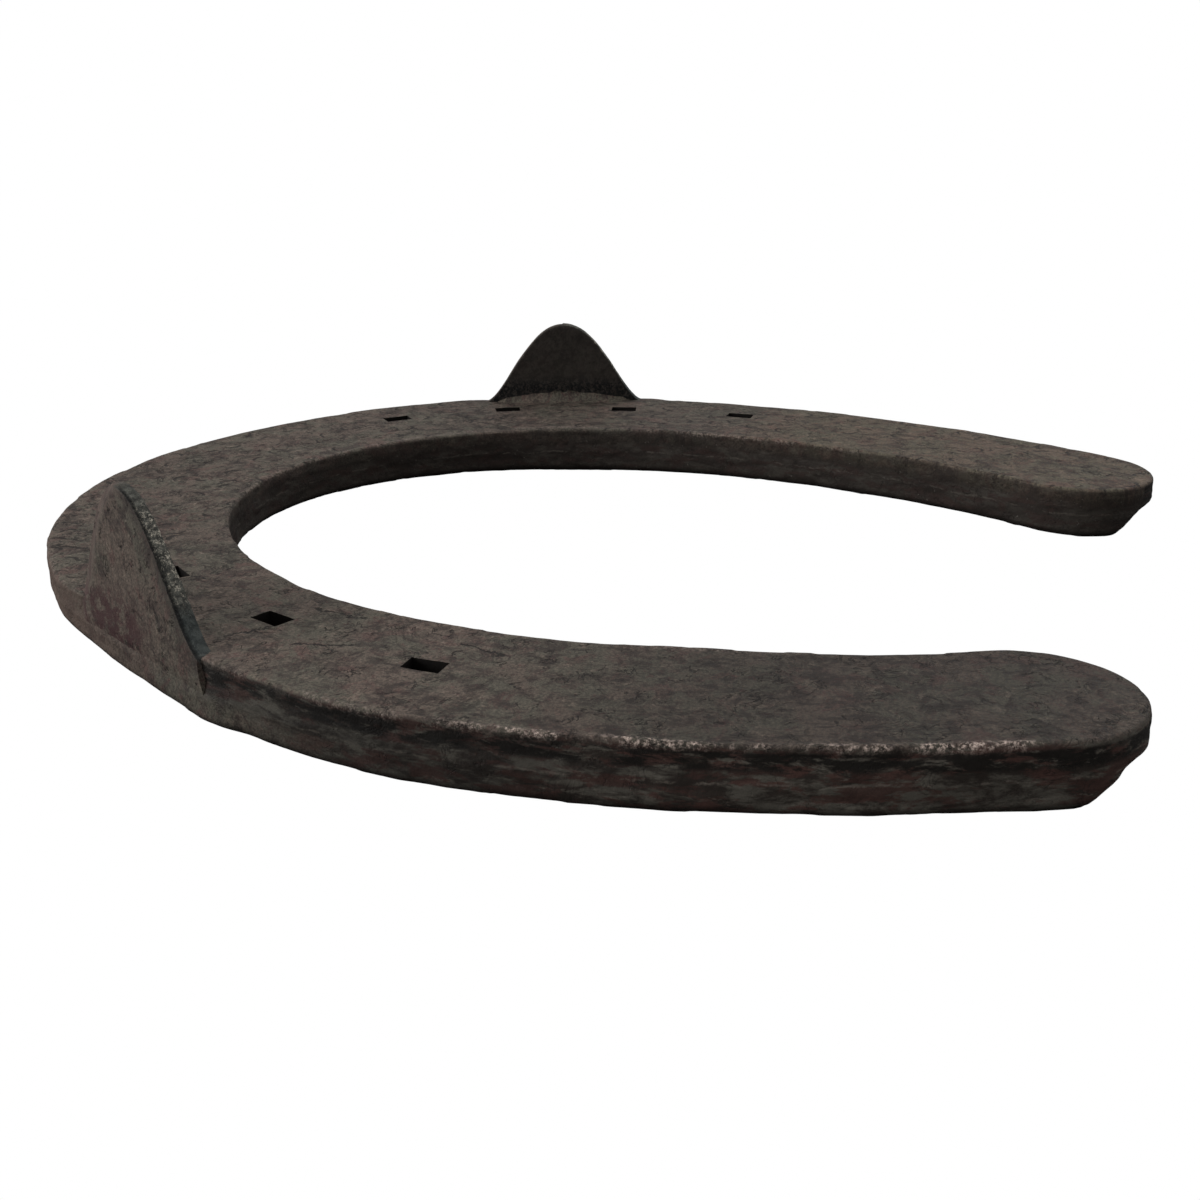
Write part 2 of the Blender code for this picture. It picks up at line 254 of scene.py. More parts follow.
def grid_mesh(name, grid, fields):
    """A closed mesh from a grid of points that runs round in its second direction.

    Points that coincide become one.  The fields, such as the distance along the bar, are
    returned for the points that are kept.
    """
    rows, columns = grid.shape[:2]
    flat = grid.reshape(-1, 3)
    keys = np.round(flat / MERGE_DISTANCE).astype(np.int64)
    first, owner = np.unique(keys, axis=0, return_index=True, return_inverse=True)[1:]
    owner = owner.reshape(rows, columns)
    following = np.roll(owner, -1, axis=1)
    corners = np.stack([owner[:-1], following[:-1], following[1:], owner[1:]], axis=-1)
    faces = []
    for corner in corners.reshape(-1, 4).tolist():
        face = [v for i, v in enumerate(corner) if v != corner[i - 1]]
        if len(set(face)) == len(face) and len(face) > 2:
            faces.append(face)
    mesh = bpy.data.meshes.new(name)
    mesh.from_pydata(flat[first], [], faces)
    mesh.update()
    outward_faces(mesh)
    kept = {key: value.reshape(-1)[first] for key, value in fields.items()}
    return mesh, kept


def places_and_normals(mesh):
    places, normals = np.zeros((2, len(mesh.vertices) * 3))
    mesh.vertices.foreach_get("co", places)
    mesh.vertex_normals.foreach_get("vector", normals)
    return places.reshape(-1, 3), normals.reshape(-1, 3)


def put_places(mesh, places):
    mesh.vertices.foreach_set("co", places.reshape(-1))
    mesh.update()


def put_field(mesh, name, values):
    """Store one number a vertex, which the material reads by name."""
    field = mesh.attributes.new(name, 'FLOAT', 'POINT')
    field.data.foreach_set("value", np.asarray(values, dtype=np.float32))


def add_object(name, data):
    thing = bpy.data.objects.new(name, data)
    bpy.context.scene.collection.objects.link(thing)
    return thing


def show(mesh, name, node):
    """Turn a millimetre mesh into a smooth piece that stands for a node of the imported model."""
    mesh.transform(Matrix.Scale(MM, 4))
    mesh.shade_smooth()
    mesh.set_sharp_from_angle(angle=SHARP_ANGLE)
    piece = add_object(name, mesh)
    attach(piece, "root")
    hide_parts(node)


# ---- the bar

def section_profile():
    """Points round the section: top from outer to inner edge, inner wall, ground face, outer wall.

    Each is (share of the way from outer to inner, inset from the edge, height).
    """
    spread = (1.0 - np.cos(np.linspace(0.0, math.pi, TOP_POINTS))) / 2
    even = np.linspace(0.0, 1.0, TOP_POINTS)
    top = [(f, HOOF_EDGE_RADIUS, THICKNESS) for f in 0.35 * spread + 0.65 * even]
    wall = []
    for turn in np.linspace(0.0, QUARTER, 4)[1:]:
        radius = HOOF_EDGE_RADIUS
        wall.append((radius * (1 - math.sin(turn)), THICKNESS - radius * (1 - math.cos(turn))))
    for height in np.linspace(THICKNESS - HOOF_EDGE_RADIUS, GROUND_EDGE_RADIUS, WALL_POINTS)[1:]:
        wall.append((0.0, height))
    for turn in np.linspace(0.0, QUARTER, 5)[1:]:
        radius = GROUND_EDGE_RADIUS
        wall.append((radius * (1 - math.cos(turn)), radius * (1 - math.sin(turn))))
    inner = [(1.0, inset, height) for inset, height in wall]
    ground = [(f, GROUND_EDGE_RADIUS, 0.0) for f in np.linspace(1.0, 0.0, GROUND_POINTS)[1:-1]]
    outer = [(0.0, inset, height) for inset, height in reversed(wall)]
    return np.array(top + inner + ground + outer)


def branch_grid(branch, profile):
    """Grid of points down one branch, toe to heel tip, with its fields."""
    angles, along = stations(branch)
    share, edge_inset, height = profile.T
    turn = np.linspace(0.0, QUARTER, CAP_STEPS + 1)[1:]
    heel = np.full(len(turn), 2 * QUARTER)
    angles = np.concatenate([angles, heel])
    turn = np.concatenate([np.zeros(len(along)), turn])
    along = np.concatenate([along, along[-1] + HEEL_WEB / 2 * np.sin(turn[len(along):])])
    narrowing = np.cos(turn)[:, None]
    out_half = (outer_offset(branch, angles)[:, None] - edge_inset) * narrowing
    in_half = (inner_offset(branch, angles)[:, None] - edge_inset) * narrowing
    forward = (HEEL_WEB / 2 - edge_inset) * np.sin(turn)[:, None]
    across = (1 - share) * out_half - share * in_half
    plan = centre_line(branch, angles)[:, None] + across[..., None] * outward(branch, angles)[:, None]
    plan = plan + forward[..., None] * heelward(branch, angles)[:, None]
    grid = np.concatenate([plan, np.broadcast_to(height, across.shape)[..., None]], axis=-1)
    fields = {
        "along": branch["side"] * np.broadcast_to(along[:, None], across.shape),
        "inset": outer_offset(branch, angles)[:, None] - across,
        "angle": np.degrees(np.broadcast_to(angles[:, None], across.shape)),
        "share": np.broadcast_to(share, across.shape),
        "height": np.broadcast_to(height, across.shape),
    }
    return grid, fields


def bar_grid():
    """Both branches as one grid, from the right heel round the toe to the left heel."""
    profile = section_profile()
    right, right_fields = branch_grid(RIGHT, profile)
    left, left_fields = branch_grid(LEFT, profile)
    grid = np.concatenate([right[:0:-1], left])
    fields = {key: np.concatenate([right_fields[key][:0:-1], left_fields[key]]) for key in left_fields}
    return grid, fields


def wear_toe_and_cut_heels(grid, fields):
    """Slope the ground side up towards the toe, roll its outer edge, and slope the heel ends back."""
    lower = 1.0 - grid[..., 2] / THICKNESS
    worn = np.clip(TOE_WEAR_Y - grid[..., 1], 0.0, None) * TOE_WEAR_SLOPE
    rolled = ROLLED_TOE_RISE * between(fields["along"], (-20.0, 15.0), (48.0, 72.0))
    rolled = rolled * np.exp(-fields["inset"] / ROLLED_TOE_REACH)
    grid[..., 2] += (worn + rolled) * lower
    cut = np.clip(THICKNESS - HEEL_UPRIGHT - grid[..., 2], 0.0, None)
    for branch in (RIGHT, LEFT):
        tip = WIDEST_Y + branch["length"] + HEEL_WEB / 2
        slope = tip - cut
        beyond = np.clip(grid[..., 1] - (slope - HEEL_BLEND), 0.0, None)
        pressed = slope - HEEL_BLEND + HEEL_BLEND * (1 - np.exp(-beyond / HEEL_BLEND))
        moved = np.where(beyond > 0.0, pressed, grid[..., 1])
        share = np.clip(cut / HEEL_CUT_START, 0.0, 1.0) * (grid[..., 0] * branch["side"] > 0)
        grid[..., 1] += (moved - grid[..., 1]) * share


def meet_clips(grid, fields):
    """Draw the outer wall into line with each clip's face.

    The wall is pressed in behind the plate's upper half.  It runs level with the plate below that
    and on its toe side, and stays near its own line beside the upper half on the heel side.
    """
    for branch in (RIGHT, LEFT):
        place = np.array(clip_frame(branch))
        local = (grid - place[:3, 3]) @ place[:3, :3]
        sideways = np.abs(local[..., 0])
        wall = local[..., 1] + fields["inset"]
        half = branch["clip_half_width"]
        behind = 1 - smooth_step(half - 3.0, half - 0.5, sideways)
        behind = behind * smooth_step(2.8, 5.6, fields["height"])
        level = -0.02 - CLIP_SUNK * behind
        on_heel_side = local[..., 0] * branch["side"] < 0
        blend = np.where(on_heel_side, CLIP_HEEL_BLEND, CLIP_TOE_BLEND)
        fade = smooth_step(half - 1.0, half + blend, sideways)
        target = level * (1 - fade) + wall * fade
        beside = smooth_step(3.2, 4.6, fields["height"]) * np.where(on_heel_side, 1.0, 0.0)
        own_line = np.maximum(np.minimum(wall, level), target - CLIP_PROUD)
        target = target * (1 - beside) + own_line * beside
        near = (sideways < half + CLIP_TOE_BLEND) & (np.abs(wall) < CLIP_WALL_REACH)
        weight = np.where(near, 1 - smooth_step(0.0, 0.3, fields["share"]), 0.0)
        grid += ((target - wall) * weight)[..., None] * place[:3, 1]


def crease_depth(fields):
    """Depth of the creases in the ground face along the nail lines."""
    depth = np.zeros_like(fields["along"])
    for branch in (RIGHT, LEFT):
        front = NAIL_REAR_ANGLE - 3 * branch["nail_step"] - CREASE_OVERRUN
        rear = NAIL_REAR_ANGLE + CREASE_OVERRUN
        reach = between(fields["angle"], (front, front + CREASE_RUN_OUT), (rear - CREASE_RUN_OUT, rear))
        groove = np.clip(1.0 - np.abs(fields["inset"] - branch["nail_inset"]) / CREASE_HALF_WIDTH, 0.0, 1.0)
        on_branch = fields["along"] * branch["side"] > 0
        depth += np.where(on_branch, CREASE_DEPTH * reach * np.sqrt(groove), 0.0)
    return depth


def hammer_marks(fields, on_top):
    """Depth of the crescent cuts that the hammer's edge left on the hoof face, deepest at the toe."""
    random = np.random.default_rng(5)
    along, inset = fields["along"], fields["inset"]
    depth = np.zeros_like(along)
    for index in range(MARK_COUNT):
        at_toe = index < TOE_MARK_COUNT
        centre = random.uniform(-75, 55) if at_toe else random.uniform(-165, 165)
        start = random.uniform(3.5, 21.5)
        radius = random.uniform(1.2, 3.4)
        heading = random.uniform(0, 2 * math.pi)
        span = random.uniform(0.5, 1.3)
        width = random.uniform(0.22, 0.4)
        strength = random.uniform(0.06, 0.18) if at_toe else random.uniform(0.02, 0.08)
        near = on_top & (np.abs(along - centre) < MARK_REACH) & (np.abs(inset - start) < MARK_REACH)
        x, y = along[near] - centre, (inset[near] - start) * 1.3
        turn = np.abs(np.angle(np.exp(1j * (np.arctan2(y, x) - heading))))
        arc = np.exp(-((np.hypot(x, y) - radius) / width) ** 2) * (1 - smooth_step(span * 0.6, span, turn))
        depth[near] = np.maximum(depth[near], strength * arc)
    return depth


def wall_relief(fields, broad, middle):
    """Thin layers of scale, one flash line at mid height, and soft hollows in the left outer wall."""
    along, height = fields["along"], fields["height"]
    outer = fields["share"] < 0.5
    wall_places = np.stack([along / 9.0, height * 1.25, np.where(outer, 0.0, 40.0)], axis=-1)
    streaks = fractal(wall_places, 1.0, 4, seed=3)
    plates = fractal(wall_places * np.array([0.9, 0.55, 1.0]), 1.0, 3, seed=4)
    layer = smooth_step(-0.05, 0.10, plates) - 0.5
    flash = np.exp(-((height - FLASH_HEIGHT - 0.25 * broad) / 0.28) ** 2)
    flash = flash * (0.5 + 0.5 * smooth_step(-0.3, 0.3, middle))
    hollow = bump(height, 6.2, 1.9) * between(along, (96.0, 108.0), (150.0, 165.0))
    beside_clip = bump(height, 6.0, 2.2) * between(along, (78.0, 81.0), (92.0, 108.0))
    hollows = np.where(outer, 0.16 * hollow + 0.12 * beside_clip, 0.0)
    return 0.10 * layer + 0.07 * streaks + 0.10 * flash - hollows


def lip_wear(fields):
    """How far the outer lip of the left branch is burred and worn bright, 0 to 1."""
    along, inset, height = fields["along"], fields["inset"], fields["height"]
    lip = np.exp(-((inset - 0.3) / 0.5) ** 2) * smooth_step(THICKNESS - 0.8, THICKNESS - 0.2, height)
    worn_length = smooth_step(108.0, 138.0, along) * (1 - 0.75 * smooth_step(160.0, 178.0, along))
    return np.where(fields["share"] < 0.5, lip * worn_length, 0.0)


def add_colour_fields(fields, marks, lip, middle):
    """What the steel's colour needs: where it is worn, marked, wall or inner side, and where the toe-side
    wall is painted lighter, as if lit.
    """
    along, inset, height = fields["along"], fields["inset"], fields["height"]
    outer = fields["share"] < 0.5
    edge = np.minimum(inset, TOE_WEB - inset)
    rim = np.exp(-(edge / 0.8) ** 2) * smooth_step(THICKNESS - 1.2, THICKNESS - 0.1, height)
    angles, run = stations(LEFT)
    clip_end = np.interp(math.radians(LEFT["clip_angle"]), angles, run) + LEFT["clip_half_width"]
    pale_spot = np.exp(-((along - clip_end - 0.6) / 1.2) ** 2 - ((inset - 2.2) / 1.0) ** 2)
    fields["wear"] = np.clip(lip + 0.22 * rim + 0.8 * pale_spot * (height > TOP_LEVEL), 0.0, 1.0)
    below_edge = 1 - smooth_step(THICKNESS - 0.5, THICKNESS - 0.1, height)
    fields["wall"] = np.where(height < GROUND_LEVEL, 0.0, below_edge)
    fields["mark"] = np.clip(marks / 0.12, 0.0, 1.0)
    # Painted light: the bright field marks the outer wall toeward of the left clip's heel end, and low down
    # a little beyond it, for a lighter tone as if lit from the toe side.
    heel_of_clip = smooth_step(-2.6, -1.2, np.abs(along) - clip_end - 0.6 * middle)
    below = 1 - smooth_step(2.6, 4.2, height + 0.6 * middle)
    fading = below * (1 - smooth_step(clip_end, clip_end + 22.0, np.abs(along)))
    fields["bright"] = np.where(outer, np.maximum(1 - heel_of_clip, fading), 0.0)
    fields["side"] = np.where(outer, 0.0, 1.0)


def forge_bar(mesh, fields):
    """Give the even bar its forged and worn surface."""
    places, normals = places_and_normals(mesh)
    height = fields["height"]
    on_top = height > TOP_LEVEL
    on_ground = height < GROUND_LEVEL
    broad = fractal(places, 13.0, 2, seed=1)
    middle = fractal(places, 3.2, 3, seed=2)
    marks = hammer_marks(fields, on_top)
    lip = lip_wear(fields)
    rough = fractal(places, 0.9, 3, seed=6)

    lift = 0.10 * broad + 0.045 * middle - marks
    lift += np.where(on_top | on_ground, 0.0, wall_relief(fields, broad, middle))
    lift += lip * (0.14 + 0.12 * rough)
    lift -= np.where(on_ground, crease_depth(fields), 0.0)
    pits = np.array([noise.voronoi(place)[0][0] for place in (places / 2.6).tolist()])
    lift -= np.where(on_top, 0.10, 0.28) * (1 - smooth_step(0.0, 0.24, pits)) * smooth_step(0.1, 0.4, broad)
    put_places(mesh, places + normals * lift[:, None])
    add_colour_fields(fields, marks, lip, middle)


def nail_cutters(material):
    """One mesh of tapered blocks, slightly ragged, that stand where the nail holes are."""
    half_width, half_length = NAIL_HOLE[0] / 2, NAIL_HOLE[1] / 2
    block = [(0, 1, 2, 3), (4, 5, 6, 7), (0, 1, 5, 4), (1, 2, 6, 5), (2, 3, 7, 6), (3, 0, 4, 7)]
    random = np.random.default_rng(11)
    corners = []
    faces = []
    for branch in (RIGHT, LEFT):
        for index in range(4):
            angle = np.array(math.radians(NAIL_REAR_ANGLE - index * branch["nail_step"]))
            out, along = outward(branch, angle), heelward(branch, angle)
            middle = centre_line(branch, angle) + out * (outer_offset(branch, angle) - branch["nail_inset"])
            faces += [[len(corners) + i for i in face] for face in block]
            for height, flare in ((-CUTTER_OVERRUN, NAIL_FLARE), (THICKNESS + CUTTER_OVERRUN, 1.0)):
                for a, b in ((-1, -1), (1, -1), (1, 1), (-1, 1)):
                    nudge = random.uniform(-NAIL_RAGGEDNESS, NAIL_RAGGEDNESS, 2)
                    spot = middle + out * (a * half_width * flare + nudge[0])
                    spot = spot + along * (b * half_length * flare + nudge[1])
                    corners.append((*spot, height))
    mesh = bpy.data.meshes.new("nail_cutters")
    mesh.from_pydata(corners, [], faces)
    outward_faces(mesh)
    mesh.materials.append(material)
    return mesh


def cut_nail_holes(mesh, hole_material):
    """Cut the nail holes through the bar, and return the cut mesh."""
    bar = add_object("bar_before_holes", mesh)
    cutter = add_object("nail_cutters", nail_cutters(hole_material))
    boolean = bar.modifiers.new("nail holes", 'BOOLEAN')
    boolean.solver = 'MANIFOLD'
    boolean.material_mode = 'TRANSFER'
    boolean.object = cutter
    depsgraph = bpy.context.evaluated_depsgraph_get()
    cut = bpy.data.meshes.new_from_object(bar.evaluated_get(depsgraph))
    for helper in (bar, cutter):
        bpy.data.objects.remove(helper)
    return cut


def make_bar(material, hole_material):
    grid, fields = bar_grid()
    wear_toe_and_cut_heels(grid, fields)
    meet_clips(grid, fields)
    mesh, fields = grid_mesh("forged_bar", grid, fields)
    forge_bar(mesh, fields)
    before = kdtree.KDTree(len(mesh.vertices))
    for index, vertex in enumerate(mesh.vertices):
        before.insert(vertex.co, index)
    before.balance()
    mesh.materials.append(material)
    cut = cut_nail_holes(mesh, hole_material)
    nearest = np.array([before.find(vertex.co)[1] for vertex in cut.vertices])
    for name in ("wear", "wall", "mark", "height", "along", "inset", "side", "bright"):
        put_field(cut, name, fields[name][nearest])
    show(cut, "forged_bar", "shoe_bar")


# ---- clips and welds

def clip_raised(branch, height):
    """How far up the bell a height is, 0 at the hoof face and 1 at the tip."""
    return np.clip((height - THICKNESS) / branch["clip_height"], 0.0, 1.0)


def clip_rise(branch, place):
    """Height of the bell above the hoof face."""
    bell = np.clip(1.0 - np.abs(place) ** CLIP_BELL_ROUNDNESS, 0.0, 1.0)
    return branch["clip_height"] * bell ** branch["clip_bell_power"]


def clip_reach(branch, height):
    """Half-width of the bell at a height, as a share of its full half-width."""
    narrowing = clip_raised(branch, height) ** (1 / branch["clip_bell_power"])
    return (1.0 - narrowing) ** (1 / CLIP_BELL_ROUNDNESS)


def clip_thickness(branch, height):
    return CLIP_ROOT_THICKNESS + (CLIP_TIP_THICKNESS - CLIP_ROOT_THICKNESS) * clip_raised(branch, height)


def clip_grid(branch):
    """Upright sections of a bell: up the outer face, over the edge and down the inner face.

    Each point is (place across the bell, share of the way from outer to inner face, height).
    """
    over = np.linspace(0.0, math.pi, CLIP_EDGE_POINTS)[1:-1]
    rows = []
    for place in np.linspace(-1.0, 1.0, CLIP_SECTIONS):
        foot = CLIP_FOOT_Z + CLIP_FOOT_RAISED * float(smooth_step(0.4, 1.0, abs(place)))
        top = THICKNESS + float(clip_rise(branch, place))
        up = np.linspace(foot, top - CLIP_EDGE_RADIUS, CLIP_UP_POINTS)
        down = np.linspace(top - CLIP_EDGE_RADIUS, foot, CLIP_DOWN_POINTS)
        edge = top - CLIP_EDGE_RADIUS * (1 - np.sin(over) ** CLIP_EDGE_SQUARENESS)
        back = (1 - np.cos(over)) / 2
        heights = np.concatenate([up, edge, down])
        share = np.concatenate([np.zeros(len(up)), back, np.ones(len(down))])
        across = np.full(len(heights), place)
        rows.append(np.stack([across, share, heights], axis=-1))
    ends = [np.broadcast_to(row.mean(axis=0), row.shape) for row in (rows[0], rows[-1])]
    return np.array([ends[0], *rows, ends[1]])


def clip_mesh(branch):
    """A smooth bell whose foot and toe-side border sink into the bar, with its fields."""
    place, share, height = np.moveaxis(clip_grid(branch), -1, 0)
    half = branch["clip_half_width"]
    above = height - THICKNESS
    lean_share = np.clip(above / np.maximum(clip_rise(branch, place), 0.2), 0.0, 1.0)
    skew = branch["side"] * branch["clip_skew"] * (1 - place ** 2) * lean_share
    toeward = place * branch["side"]
    to_border = np.clip(clip_reach(branch, height) - np.abs(place), 0.0, None) * half
    flank = np.where(toeward > 0, CLIP_FLANK_SUNK * (1 - smooth_step(0.0, 3.6, to_border)), 0.0)
    below = 1 - smooth_step(-1.0, 0.5, above)
    sunk = CLIP_SUNK * (1 - smooth_step(2.6, 5.8, height))
    sunk = np.maximum(sunk, flank * (1 - 0.6 * below))
    depth = -sunk * (1 - share) - share * clip_thickness(branch, height)
    flare = CLIP_FOOT_FLARE * (1 - smooth_step(3.0, THICKNESS, height)) * np.clip(-toeward, 0.0, 1.0)
    grid = np.stack([place * half + skew - branch["side"] * flare, depth, height], axis=-1)
    fields = {"across": toeward, "height": height, "share": share, "to_border": to_border}
    return grid_mesh(branch["name"] + "_forged_clip", grid, fields)


def forge_clip(mesh, fields, branch):
    """Give a smooth bell its forged face and burred heel-side edge, and its colour fields."""
    places, normals = places_and_normals(mesh)
    seed = branch["seed"]
    share, height, across = fields["share"], fields["height"], fields["across"]
    above = (height - THICKNESS) / branch["clip_height"]
    on_edge = (share > 0.02) & (share < 0.98)
    heel_side = smooth_step(0.10, -0.15, across) * np.where(on_edge, 1.0, 0.0)
    heel_side = heel_side * smooth_step(-0.06, 0.02, above)
    grain = fractal(places, 1.1, 4, seed + 2)
    pitted = smooth_step(-0.1, 0.35, fractal(places, 0.9, 3, seed + 3))
    burr = 0.14 * grain - 0.26 * bump(share, 0.16, 0.16) + 0.07 * pitted
    lift = 0.10 * fractal(places, 9.0, 2, seed) + 0.03 * fractal(places, 2.2, 3, seed + 1)
    lift += heel_side * branch["clip_burr"] * burr
    put_places(mesh, places + normals * lift[:, None])

    near_border = 1 - smooth_step(0.4, 3.2, fields["to_border"])
    flank = np.maximum(near_border * smooth_step(0.0, 0.3, across), 0.7 * smooth_step(0.86, 0.97, above))
    shaded = (1 - smooth_step(0.3, 3.4, fields["to_border"])) * smooth_step(0.1, -0.2, across)
    fields["edge"] = heel_side
    # The groove field places a dark line of painted shadow, where the face stands over the edge.
    fields["groove"] = heel_side * (1 - smooth_step(0.12, 0.30, share))
    fields["specks"] = heel_side * between(above, (0.22, 0.38), (0.84, 0.97))
    fields["flank"] = flank * (1 - smooth_step(0.0, 0.4, share))
    fields["shaded"] = shaded * (1 - smooth_step(0.0, 0.1, share)) * smooth_step(4.0, 8.0, height)
    fields["inner"] = smooth_step(0.6, 1.0, share)


def make_clip(branch, material):
    mesh, fields = clip_mesh(branch)
    forge_clip(mesh, fields, branch)
    for name in ("edge", "groove", "specks", "flank", "shaded", "inner", "height", "across"):
        put_field(mesh, name, fields[name])
    mesh.transform(clip_frame(branch))
    mesh.materials.append(material)
    show(mesh, branch["name"] + "_forged_clip", branch["name"] + "_side_clip")


def make_weld(branch, material):
    """A rough fillet, hollow in section, along the inner root of a clip."""
    rows = []
    for along in np.linspace(-1.0, 1.0, WELD_SECTIONS):
        size = max(1.0 - along ** 2, 0.0) ** WELD_TAPER
        reach, rise = WELD_REACH * size, WELD_RISE * size
        turn = np.linspace(0.0, QUARTER, WELD_FACE_POINTS)
        face = [(-reach * (1 - math.sin(t)), rise * (1 - math.cos(t))) for t in turn]
        back = [(WELD_INTO_CLIP, rise), (WELD_INTO_CLIP, -WELD_SUNK), (-reach, -WELD_SUNK)]
        rows.append([(along * WELD_HALF_LENGTH, y, z) for y, z in face + back])
    grid = np.array(rows)
    mesh, fields = grid_mesh(branch["name"] + "_weld_fillet", grid, {"up": grid[..., 2] / WELD_RISE})
    places, normals = places_and_normals(mesh)
    seed = branch["seed"] + WELD_SEED
    up = smooth_step(0.45, 0.95, fields["up"])
    lift = 0.05 * fractal(places, 3.0, 3, seed) + 0.30 * up * fractal(places, 1.0, 4, seed + 1)
    put_places(mesh, places + normals * lift[:, None])
    put_field(mesh, "up", fields["up"])
    at_clip = clip_frame(branch)
    upright = at_clip @ Matrix.Rotation(-CLIP_LEAN, 4, 'X')
    upright.translation = at_clip @ Vector((0.0, -CLIP_ROOT_THICKNESS, THICKNESS))
    mesh.transform(upright)
    mesh.materials.append(material)
    show(mesh, branch["name"] + "_weld_fillet", branch["name"] + "_clip_weld")


# ---- steel

# Tones of the hoof face, as linear red, green and blue
BROWN_SCALE = (0.088, 0.068, 0.055)
OLIVE_SCALE = (0.076, 0.068, 0.053)
PALE_SCALE = (0.150, 0.118, 0.094)
DARK_STAIN = (0.033, 0.024, 0.021)
RUST_BLOOM = (0.078, 0.046, 0.040)
RUST_SPOT = (0.062, 0.028, 0.027)
SMEAR = (0.032, 0.025, 0.022)
CRACK = (0.010, 0.008, 0.007)
HAMMER_MARK = (0.020, 0.015, 0.013)
RUBBED_LIP = (0.54, 0.43, 0.37)

# Tones of the walls and the nail holes
WALL_DARK = (0.022, 0.017, 0.014)
WALL_PALE = (0.078, 0.071, 0.059)
WALL_RUST = (0.048, 0.024, 0.020)
# The next tone is both the walls' own black blotches and painted shade under the lip and at the foot of
# each wall.
WALL_BLOTCH_AND_SHADE = (0.007, 0.006, 0.005)
WALL_FLAKE = (0.110, 0.098, 0.082)
WALL_FLASH = (0.105, 0.090, 0.076)
WALL_SPECK = (0.20, 0.18, 0.16)
# The next tone is painted shade on the inner walls.
INNER_WALL_SHADE = (0.034, 0.026, 0.022)
# The next tone is painted light on the toe-side outer wall; its rust-brown hue is the steel's own.
LIT_TOE_WALL = (0.158, 0.104, 0.084)
HOLE_BLACK = (0.003, 0.003, 0.003)
HOLE_DARK_GREY = (0.010, 0.007, 0.006)

# Tones of the clips and welds
CLIP_SCRATCH = (0.034, 0.028, 0.025)
CLIP_RUST = (0.043, 0.018, 0.019)
CLIP_FLANK = (0.120, 0.084, 0.074)
CLIP_SHADED = (0.026, 0.021, 0.019)
# The next tone is a painted shadow in the groove beside each clip's heel-side edge.
CLIP_GROOVE_SHADE = (0.008, 0.008, 0.008)
# The next two tones are painted shade on the clips' inner faces.
SHADED_INNER_DARK = (0.018, 0.015, 0.013)
SHADED_INNER_PALE = (0.033, 0.028, 0.024)
CRUST_BLACK = (0.004, 0.004, 0.004)
CRUST_PALE = (0.105, 0.100, 0.090)
BURR_DARK = (0.036, 0.036, 0.032)
BURR_PALE = (0.110, 0.110, 0.094)
BURR_FOOT_DARK = (0.036, 0.042, 0.041)
BURR_FOOT_PALE = (0.066, 0.074, 0.070)
BARE_SPECK = (0.56, 0.51, 0.42)
WELD_BLACK = (0.005, 0.005, 0.005)
WELD_PALE = (0.16, 0.155, 0.145)

# Cracks on the hoof face: (start, end) as (along, inset)
CRACKS = (
    ((82.6, 5.4), (84.6, 11.6)),
    ((83.5, 18.6), (93.0, 20.2)),
    ((90.5, 9.2), (98.0, 14.0)),
    ((60.0, 14.3), (63.0, 16.0)),
    ((36.6, 0.8), (38.4, 5.2)),
    ((30.2, 1.2), (31.4, 4.6)),
    ((39.5, 0.9), (41.4, 4.4)),
    ((6.9, 18.4), (7.3, 23.0)),
    ((28.4, 21.0), (30.6, 23.0)),
    ((108.5, 20.5), (116.0, 18.5)),
)
CRACK_WIDTH = 0.20
STREAK_STRETCH = 0.34
STREAK_DISTORTION = 0.25


def is_socket(value):
    return isinstance(value, bpy.types.NodeSocket)


def join(source, target):
    """Join a socket, or give a number or colour, to an input."""
    if is_socket(source):
        source.id_data.links.new(source, target)
    else:
        target.default_value = source


def add_node(kind, values, **settings):
    """A node whose first inputs take the values, in the tree that holds the sockets among them."""
    node = next(value.id_data for value in values if is_socket(value)).nodes.new(kind)
    for key, value in settings.items():
        setattr(node, key, value)
    for value, target in zip(values, node.inputs):
        join(value, target)
    return node


def maths(operation, *values, clamp=False):
    return add_node('ShaderNodeMath', values, operation=operation, use_clamp=clamp).outputs[0]


def product(first, *others):
    """All the values multiplied together."""
    for other in others:
        first = maths('MULTIPLY', first, other)
    return first


def highest(first, *others):
    for other in others:
        first = maths('MAXIMUM', first, other)
    return first


def rest(value):
    return maths('SUBTRACT', 1.0, value)


def vector(x, y, z=0.0):
    return add_node('ShaderNodeCombineXYZ', (x, y, z)).outputs[0]


def step(value, low, high, to_low=0.0, to_high=1.0):
    """Map low..high smoothly to to_low..to_high."""
    values = (value, low, high, to_low, to_high)
    return add_node('ShaderNodeMapRange', values, interpolation_type='SMOOTHSTEP').outputs[0]


def band(value, rise, fall):
    """1 between two places, with an even rise to it and fall from it, each (low, high)."""
    return product(step(value, *rise), step(value, fall[1], fall[0]))


def mix(factor, first, second, blend='MIX'):
    """Mix two colours, each a socket or (red, green, blue)."""
    tree = next(value.id_data for value in (factor, first, second) if is_socket(value))
    node = tree.nodes.new('ShaderNodeMix')
    node.data_type = 'RGBA'
    node.blend_type = blend
    join(factor, node.inputs[0])
    for colour, target in ((first, node.inputs[6]), (second, node.inputs[7])):
        join(colour if is_socket(colour) else (*colour, 1.0), target)
    return node.outputs[2]


